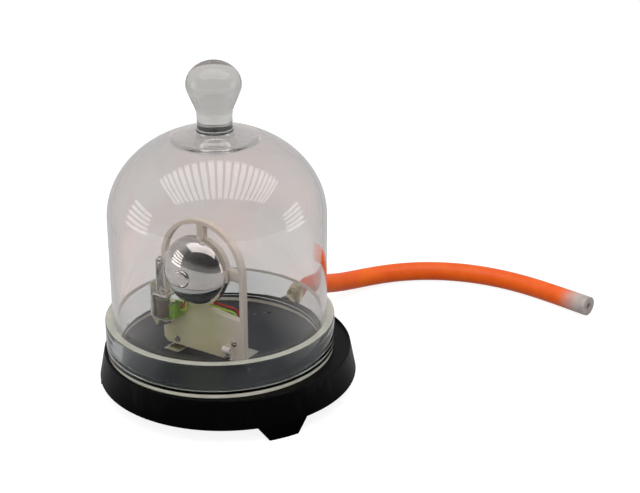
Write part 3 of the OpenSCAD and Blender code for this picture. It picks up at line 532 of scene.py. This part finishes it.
# Hose, from the ferrule to its grey end
hose = strand("vacuum_hose_tube", HOSE, HOSE_R, "vacuum_hose", orange_tube)

# Leads from the terminal block, behind the gong, through the right window of the plate and down the
# gland, then under the deck to their sockets. Each point has the upper lead's shift in X and Y.
LEAD_R = 0.8
LEAD_STEP = 2.6
LEAD_WAY = [
    (-15.7, -5, 36, 0, 0), (-12.7, -4.4, 36.6, -1.8, -0.6), (-11.5, -2.2, 41, -1.6, 0),
    (-8, -1.05, 44.6, -1, 0), (-3, -1.05, 46.6, 0, 0), (3, -1.05, 46.6, 0, 0),
    (9, -0.9, 45.2, 0, 0), (14, 0.8, 43.4, 0, 0.6), (19, 3.6, 41.4, 0, 1.2),
    (23.5, 6.8, 38.8, 0, 1.8), (25.6, 8.6, 34.5, 0, 2.1), (25, 10.2, 28.5, 0, 2.1),
    (20.5, 11.6, 21, 0, 2), (14.5, 12.3, 15, 0, 1.6),
]
GLAND_Y = 12.5
GLAND_TOP = 8
GLAND_FOOT = -8
UNDER_DECK = [(1, 4, 2, -4, -1.5), (-2, 12, 0, -8, -3)]
SOCKET_Z = 20.5
SOCKET_REACH = (71.65, 77.65)


def lead_points(upper, gland_x, bearing, sag):
    """The way of one lead, with upper 1 for the lead that lies above the other."""
    rise = upper * LEAD_STEP
    above = [(x + upper * dx, y + upper * dy, z + rise) for x, y, z, dx, dy in LEAD_WAY]
    above += [(gland_x, GLAND_Y, z) for z in (GLAND_TOP + rise, 2, -5.8)]
    gland = STAND @ Vector((gland_x, GLAND_Y, GLAND_FOOT))
    low = SOCKET_Z - sag
    turn = [
        (gland.x + x + upper * dx, gland.y + y + upper * dy, low + z)
        for x, y, z, dx, dy in UNDER_DECK
    ]
    near, end = [heading(bearing) * reach + Vector((0, 0, SOCKET_Z)) for reach in SOCKET_REACH]
    middle = (gland + near) / 2
    return [STAND @ Vector(p) for p in above] + turn + [(middle.x, middle.y, low), near, end]


green_way = lead_points(upper=0, gland_x=11.5, bearing=135, sag=1)
red_way = lead_points(upper=1, gland_x=8.5, bearing=150, sag=3.4)
strand("lead_green_wire", green_way, LEAD_R, "lead_green", green_pvc)
strand("lead_red_wire", red_way, LEAD_R, "lead_red", red_pvc)

# Jar, knob and collar in one wall of glass: outside from the knob's top over the collar to the
# foot, inside up to the ceiling, which rises a little in the middle. The collar's level faces,
# whose normals rise or fall by more than RIM_LEVEL, are its pale rim.
KNOB_R = 19.9
KNOB_RISE = 16.9
KNOB_Z = 235.4
HOLLOW_R = 20
HOLLOW_Z = 211.7
NECK_R = 12.75
BEAD_R = 13.65
RIM_R = 1
RIM_LEVEL = 0.8
INNER_EDGE_R = 31.97
CEILING_R = 30.5
CEILING_Z = 193.5
CEILING_RISE = 3
bead_z = SHOULDER + DOME_RISE * math.sqrt(1 - (BEAD_R / JAR_R) ** 2)
bulb = arc(KNOB_R, KNOB_RISE, KNOB_Z, 90, -20, steps=24)
hollow = arc(HOLLOW_R, HOLLOW_R, HOLLOW_Z, 156.8, 180, steps=10)
neck = [(NECK_R + HOLLOW_R + r, z) for r, z in hollow] + [(NECK_R, bead_z + 2.1)]
bead = [(13.2, bead_z + 1.9), (13.62, bead_z + 1.3), (13.7, bead_z + 0.7), (BEAD_R, bead_z)]
outside = arc(JAR_R, DOME_RISE, SHOULDER, angle_at(BEAD_R, JAR_R), 0, steps=36)[1:]
seat = [(JAR_R, COLLAR_TOP)]
rim = [
    (COLLAR_R - RIM_R + r, z)
    for r, z in arc(RIM_R, RIM_R, COLLAR_TOP - RIM_R, 90, 0, steps=5)
]
foot = [
    (COLLAR_R, COLLAR_FOOT + 0.3),
    (COLLAR_R - 0.3, COLLAR_FOOT),
    (JAR_INNER_R + 0.5, COLLAR_FOOT),
    (JAR_INNER_R, COLLAR_FOOT + 0.5),
]
inside = arc(
    JAR_INNER_R, INNER_RISE, SHOULDER, 0, angle_at(INNER_EDGE_R, JAR_INNER_R), steps=36
)
ceiling = [
    (r, CEILING_Z + CEILING_RISE * (1 - (r / CEILING_R) ** 2))
    for r in (CEILING_R, 27, 23, 19, 15, 11, 7, 3, 0)
]
wall = turned(
    bulb + neck + bead + outside + seat + rim + foot + inside + ceiling, JAR, steps=160
)
for face in wall.faces:
    under = face.calc_center_median().z < (COLLAR_TOP + COLLAR_EDGE) * MM
    face.material_index = 1 if under and abs(face.normal.z) > RIM_LEVEL else 0
piece(
    "jar_wall",
    wall,
    "jar",
    ["jar_dome", "jar_knob", "jar_collar"],
    "clear_glass",
    jar_glass,
    pale_rim,
    crease=CREASE,
)

# Gong: a spun dome with a rolled rim and a flat seat for its cap. Heights are from the plate.
GONG_R = 26
GONG_RISE = 17
GONG_INNER_R = 24.6
GONG_INNER_RISE = 15.6
GONG_SKIRT = 6
GONG_HOLE_R = 2.6
CAP_SEAT_R = 7
INNER_SEAT_R = 8.2
gong_outside = arc(GONG_R, GONG_RISE, GONG_SKIRT, angle_at(CAP_SEAT_R, GONG_R), 0, steps=40)
gong_rim = [(GONG_R, 2.5), (25.6, 2), (25, 2), (GONG_INNER_R, 2.4)]
gong_inside = arc(
    GONG_INNER_R, GONG_INNER_RISE, GONG_SKIRT, 0, angle_at(INNER_SEAT_R, GONG_INNER_R), steps=30
)
gong_hole = [(GONG_HOLE_R, 20.97), (GONG_HOLE_R, 22.37)]
gong_shell = turned(
    gong_outside + gong_rim + gong_inside + gong_hole, GONG, steps=128, ring=True
)
piece("gong_dome", gong_shell, "base", ["gong"], "gong_chrome", chrome, crease=CREASE)
# Its cap: a round nut with a raised edge and a sunk middle
cap = [
    (0, 24.2), (4.2, 24.2), (4.8, 24.45), (5.4, 24.6), (6, 24.4), (6.45, 23.9), (6.6, 23.2),
    (6.6, 22.4), (0, 22.4),
]
cap_nut = turned(cap, GONG, steps=96)
piece("gong_cap_nut", cap_nut, "base", ["gong_cap"], "gong_chrome", chrome, crease=CREASE)

# Base: one moulding, rubbed dull on the deck under the jar and satin black on its ledge, skirt and
# feet. Cuts round a circle under the collar part the deck from the ledge. Faces whose normals rise
# by more than DECK_LEVEL lie level.
DECK_R = 83
DECK_LEVEL = 0.9
CUTS = 64
CUT_GAP = 0.001
moulding = softened("base_moulding", 0.5)
for i in range(CUTS):
    out = heading(360 * i / CUTS)
    top = [
        face
        for face in moulding.faces
        if face.normal.z > DECK_LEVEL and face.calc_center_median().z > (DECK - 1) * MM
    ]
    bmesh.ops.bisect_plane(
        moulding,
        geom=list({part for face in top for part in [face, *face.edges, *face.verts]}),
        dist=CUT_GAP * MM,
        plane_co=(JAR.translation + out * DECK_R) * MM,
        plane_no=out,
    )
for face in moulding.faces:
    middle = face.calc_center_median() / MM - JAR.translation
    face.material_index = 1 if face.normal.z > DECK_LEVEL and middle.xy.length < DECK_R else 0
piece("base_moulded", moulding, "base", ["base_moulding"], "black_plastic", skirt_abs, deck_abs)

# The other pieces keep their CAD shape, with every sharp edge rounded as a real one is: the body,
# the width of the rounding, the slot and the material
ROUNDED = {
    "sealing_ring": ("jar", 0.4, "seal_rubber", cream_silicone),
    "hose_connector": ("base", 0.25, "pale_brass", pale_brass),
    "connector_seal": ("base", 0.2, "black_rubber", black_rubber),
    "hose_ferrule": ("base", 0.2, "pale_brass", pale_brass),
    "hose_end": ("base", 0.15, "grey_rubber", grey_rubber),
    "socket_red": ("base", 0.35, "red_plastic", red_abs),
    "socket_black": ("base", 0.35, "black_plastic", skirt_abs),
    "socket_nuts": ("base", 0.25, "zinc_steel", zinc),
    "stand_plate": ("base", 0.45, "ivory_plastic", laminate),
    "bracket_left": ("base", 0.25, "zinc_steel", zinc),
    "bracket_right": ("base", 0.25, "zinc_steel", zinc),
    "plate_screws": ("base", 0.15, "screw_steel", screw_steel),
    "plate_nuts": ("base", 0.2, "screw_steel", screw_steel),
    "bracket_screws": ("base", 0.15, "screw_steel", screw_steel),
    "nylon_clip": ("base", 0.35, "white_nylon", nylon),
    "gong_post": ("base", 0.2, "zinc_steel", zinc),
    "post_nut": ("base", 0.25, "zinc_steel", zinc),
    "magnet_bracket": ("base", 0.2, "zinc_steel", zinc),
    "magnet_screws": ("base", 0.2, "screw_steel", screw_steel),
    "magnet_yoke": ("base", 0.2, "soft_iron", soft_iron),
    "yoke_rivet": ("base", 0.12, "screw_steel", screw_steel),
    "magnet_core": ("base", 0.12, "soft_iron", soft_iron),
    "coil_winding": ("base", 0.2, "brown_tape", brown_tape),
    "contact_screw": ("base", 0.15, "pale_brass", pale_brass),
    "contact_nut": ("base", 0.15, "pale_brass", pale_brass),
    "spring_blade": ("base", 0.08, "zinc_steel", zinc),
    "armature": ("clapper", 0.2, "zinc_steel", zinc),
    "clapper_arm": ("clapper", 0.12, "zinc_steel", zinc),
    "arm_rivet": ("clapper", 0.12, "screw_steel", screw_steel),
    "striker": ("clapper", 0.12, "screw_steel", screw_steel),
    "lead_gland": ("base", 0.2, "black_rubber", black_rubber),
}
shown = {
    node: piece(node + "_finished", softened(node, width), body, [node], slot, material)
    for node, (body, width, slot, material) in ROUNDED.items()
}

# Bobbin: olive flanges round the winding, darker than the block by painted shade, and right of
# this place along the plate the green terminal block
BLOCK_X = -22.2
bobbin = softened("coil_bobbin", 0.2)
to_stand = STAND.inverted()
for face in bobbin.faces:
    middle = to_stand @ (face.calc_center_median() / MM)
    face.material_index = 1 if middle.x < BLOCK_X else 0
piece(
    "coil_bobbin_finished",
    bobbin,
    "base",
    ["coil_bobbin"],
    "green_plastic",
    green_nylon,
    olive_nylon_painted_shade,
)


def plainly_seen(tree):
    """The light path, and 1 where the eye looks straight or through glass and not in a mirror."""
    rays = add(tree, "LightPath").outputs
    eye = add(
        tree,
        "Math",
        {0: rays["Is Camera Ray"], 1: rays["Is Transmission Ray"]},
        operation="MAXIMUM",
    )
    unmirrored = add(tree, "Math", {0: rays["Glossy Depth"], 1: 0.5}, operation="LESS_THAN")
    seen = add(
        tree,
        "Math",
        {0: eye.outputs["Value"], 1: unmirrored.outputs["Value"]},
        operation="MULTIPLY",
    )
    return rays, seen.outputs["Value"]


# Floor: white paper to the eye, straight or through the glass, with a soft shadow under the base.
# In mirrors it is dimmer, most of all round a spot in front, where the camera keeps the light off,
# and least in front on both sides. Metal under the glass, which is seen through both faces of the
# wall and sees out through them again, mirrors it bright all over.
FLOOR_R = 12
FLOOR_GLOW = 0.86
DARK_SPOT = (0, -0.2, 0)
SPOT_LEVEL = 0.04
MIRRORED_LEVEL = 0.62
SIDES_MORE = 0.5
FROM_METAL_LEVEL = 0.9
paper = bpy.data.materials.new("white_paper_floor")
tree = emptied(paper)
rays, seen = plainly_seen(tree)
glow = add(tree, "Emission", {"Color": WHITE, "Strength": FLOOR_GLOW})
matt = add(tree, "BsdfDiffuse", {"Color": linear("#959595")})
bright = add(tree, "AddShader", {0: glow.outputs["Emission"], 1: matt.outputs["BSDF"]})
table = add(tree, "MixShader", {0: seen, 1: matt.outputs["BSDF"], 2: bright.outputs["Shader"]})
ground = add(tree, "TexCoord").outputs["Object"]
spot = add(tree, "VectorMath", {0: ground, 1: DARK_SPOT}, operation="DISTANCE")
plain = add(
    tree,
    "MapRange",
    {
        "Value": spot.outputs["Value"],
        "From Min": 0.15,
        "From Max": 0.27,
        "To Min": SPOT_LEVEL,
        "To Max": MIRRORED_LEVEL,
    },
)
across = add(tree, "SeparateXYZ", {"Vector": ground})
ahead = add(
    tree,
    "MapRange",
    {
        "Value": across.outputs["Y"],
        "From Min": 0.02,
        "From Max": 0.14,
        "To Min": SIDES_MORE,
        "To Max": 0,
    },
)
aside = add(tree, "Math", {0: across.outputs["X"]}, operation="ABSOLUTE")
sides = add(
    tree,
    "MapRange",
    {
        "Value": aside.outputs["Value"],
        "From Min": 0.15,
        "From Max": 0.25,
        "To Min": 0,
        "To Max": ahead.outputs["Result"],
    },
)
shade = add(tree, "Math", {0: plain.outputs["Result"], 1: sides.outputs["Result"]}, operation="ADD")
metal = add(tree, "Math", {0: rays["Transmission Depth"], 1: 2.5}, operation="GREATER_THAN")
level = add(
    tree,
    "Mix",
    {"Factor": metal.outputs["Value"], 2: shade.outputs["Value"], 3: FROM_METAL_LEVEL},
)
grey = add(tree, "Emission", {"Color": WHITE, "Strength": level.outputs[0]})
mirrored = add(tree, "Math", {0: rays["Glossy Depth"], 1: 0.5}, operation="GREATER_THAN")
whole = add(
    tree,
    "MixShader",
    {0: mirrored.outputs["Value"], 1: table.outputs["Shader"], 2: grey.outputs["Emission"]},
)
add(tree, "OutputMaterial", {"Surface": whole.outputs["Shader"]})
sheet = bmesh.new()
bmesh.ops.create_circle(sheet, cap_ends=True, segments=64, radius=FLOOR_R)
floor_mesh = bpy.data.meshes.new("floor")
sheet.to_mesh(floor_mesh)
sheet.free()
floor_mesh.materials.append(paper)
floor = in_scene("floor", floor_mesh)

# World: white to the eye, straight or through the glass. In mirrors and as light it is a room: a
# white wall behind the object, and in front pale low down and dim high up.
WALL_LEVEL = 0.66
FRONT_LOW_LEVEL = 0.34
FRONT_HIGH_LEVEL = 0.01
room = bpy.data.worlds.new("room_with_white_wall")
tree = emptied(room)
_, seen = plainly_seen(tree)
around = add(tree, "SeparateXYZ", {"Vector": add(tree, "TexCoord").outputs["Generated"]})
front = add(
    tree,
    "MapRange",
    {
        "Value": around.outputs["Z"],
        "From Min": 0.05,
        "From Max": 0.4,
        "To Min": FRONT_LOW_LEVEL,
        "To Max": FRONT_HIGH_LEVEL,
    },
    interpolation_type="SMOOTHSTEP",
)
behind = add(
    tree,
    "MapRange",
    {"Value": around.outputs["Y"], "From Min": -0.35, "From Max": 0.15},
    interpolation_type="SMOOTHSTEP",
)
level = add(
    tree,
    "Mix",
    {"Factor": behind.outputs["Result"], 2: front.outputs["Result"], 3: WALL_LEVEL},
)
white = add(tree, "Background", {"Color": WHITE, "Strength": 1})
dim = add(tree, "Background", {"Color": WHITE, "Strength": level.outputs[0]})
whole = add(
    tree, "MixShader", {0: seen, 1: dim.outputs["Background"], 2: white.outputs["Background"]}
)
add(tree, "OutputWorld", {"Surface": whole.outputs["Shader"]})
scene.world = room


def lamp(name, place, facing, width, length, level):
    """A flat lamp at a place, with its facing and brightness, its length running to the back."""
    light = bpy.data.lights.new(name, "AREA")
    light.shape = "RECTANGLE"
    light.size = width
    light.size_y = length
    light.energy = level * math.pi * width * length
    holder = in_scene(name, light)
    back = -Vector(facing).normalized()
    side = Vector((0, 1, 0)).cross(back).normalized()
    turn = Matrix((side, back.cross(side), back)).transposed()
    holder.matrix_world = Matrix.Translation(place) @ turn.to_4x4()
    holder.visible_camera = False
    return holder


# Strip lights in rows over the jar and on both sides, which only show in mirrors and draw the
# stripes in the dome: how many, the first one's place, the step to the next, the facing, the width
# and the length
STRIP_LEVEL = 2.3
STRIPS = {
    "top_strip": (20, (-0.97, -0.2, 1.2), (0.113, 0, 0), (0, 0, -1), 0.075, 0.95),
    "left_strip": (5, (-1.2, -0.03, 0.06), (0, 0, 0.12), (1, 0, 0), 0.066, 0.64),
    "right_strip": (5, (1.2, -0.12, 0.05), (0, 0, 0.105), (-1, 0, 0), 0.06, 0.54),
}
for name, (count, first, step, facing, width, length) in STRIPS.items():
    for i in range(count):
        place = Vector(first) + i * Vector(step)
        strip = lamp(f"{name}_{i}", place, facing, width, length, STRIP_LEVEL)
        strip.visible_diffuse = False

# Three large soft lamps, which light the object and don't show in mirrors: the place, the width,
# the length and the brightness. They face a point in the jar.
SOFT_AIM = Vector((0, 0, 0.1))
SOFT = {
    "soft_top": ((0, -0.3, 1.4), 2, 1.6, 1.8),
    "soft_front_left": ((-0.9, -1.5, 0.9), 1.6, 1.2, 1.6),
    "soft_front_right": ((0.8, -1.6, 0.8), 1.6, 1.2, 1.2),
}
for name, (place, width, length, brightness) in SOFT.items():
    soft = lamp(name, place, SOFT_AIM - Vector(place), width, length, brightness)
    soft.visible_glossy = False
    soft.visible_transmission = False
